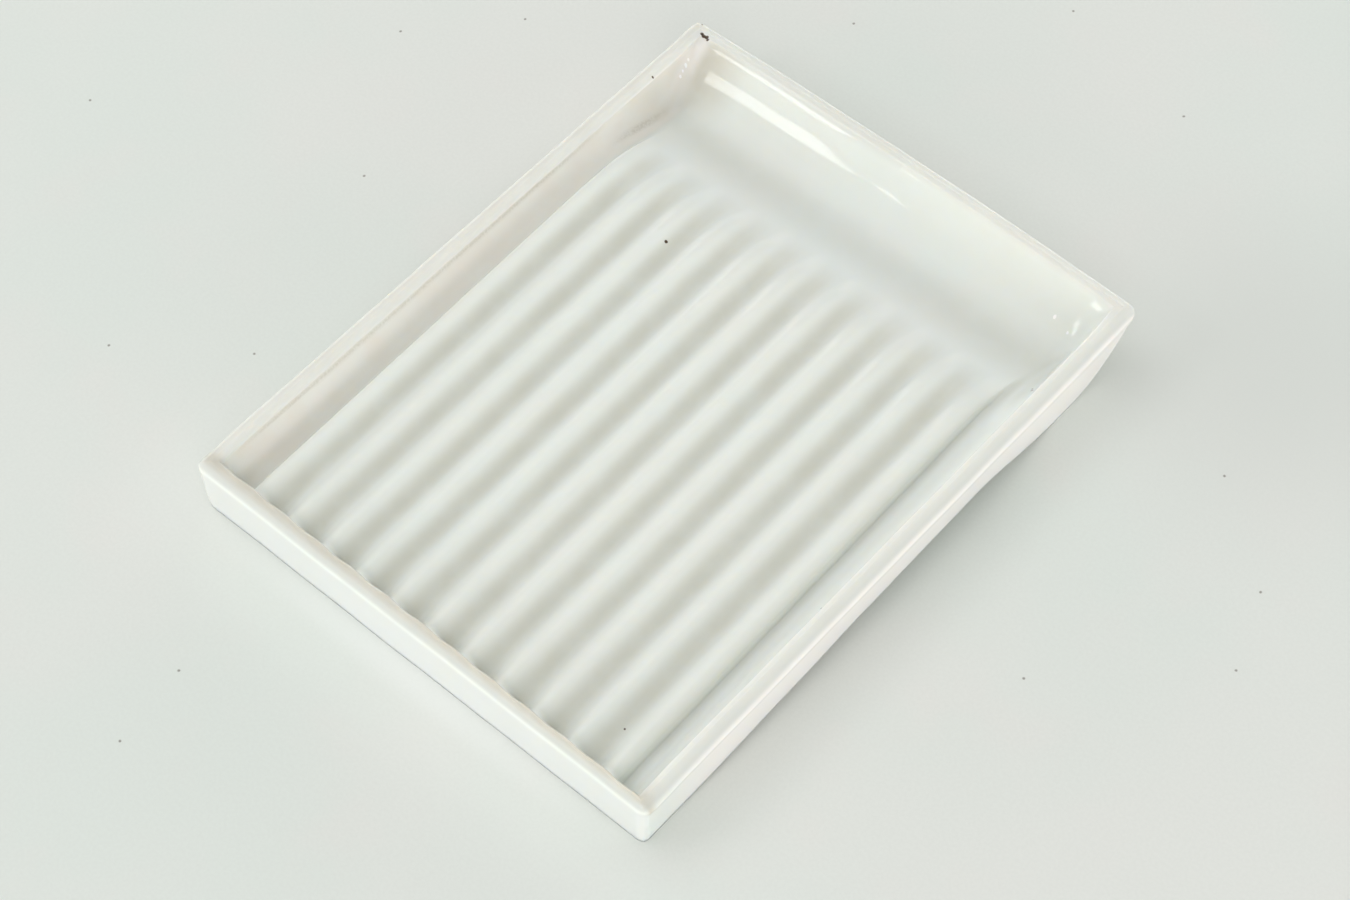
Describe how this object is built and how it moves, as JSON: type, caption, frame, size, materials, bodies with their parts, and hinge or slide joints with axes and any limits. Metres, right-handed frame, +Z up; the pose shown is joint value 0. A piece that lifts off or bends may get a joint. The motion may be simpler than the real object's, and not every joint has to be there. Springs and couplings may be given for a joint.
{
  "type": "developing tray",
  "caption": "Shallow white opal-glass tray for developing photographic plates, with a ribbed rising floor, a smooth well at one end and a scoop-shaped far wall.",
  "frame": {"origin": "middle of the outline seen from above, on the surface that the tray stands on", "axes": "+Z is up; +Y runs along the ribs, from the near wall to the well; +X runs across the ribs"},
  "size_m": [0.115, 0.148, 0.014],
  "materials": {
    "opal_glass": "gloss"
  },
  "bodies": {
    "root": {"tray": "opal_glass"}
  },
  "joints": []
}
